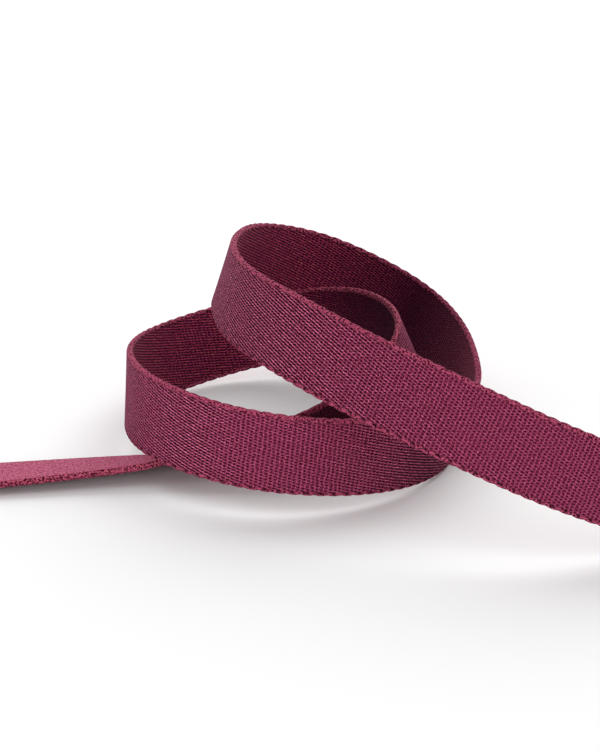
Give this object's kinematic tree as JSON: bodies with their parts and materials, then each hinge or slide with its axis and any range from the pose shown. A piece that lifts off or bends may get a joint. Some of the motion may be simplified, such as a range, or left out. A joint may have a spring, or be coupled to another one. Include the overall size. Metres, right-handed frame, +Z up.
{
  "type": "roll of webbing",
  "caption": "Strip of heavy woven webbing wound loosely into a low and a high standing loop, with a flat tail and a run-off end, for straps, belts and trims.",
  "frame": {"origin": "on the surface that the strip rests on, under the middle of its bounding box", "axes": "+Z up, +X from the flat tail towards the run-off end, -Y towards the side that the run-off end crosses"},
  "size_m": [0.3088, 0.2322, 0.0805],
  "materials": {
    "webbing": "matte woven"
  },
  "bodies": {
    "root": {"webbing": "webbing"}
  },
  "joints": []
}
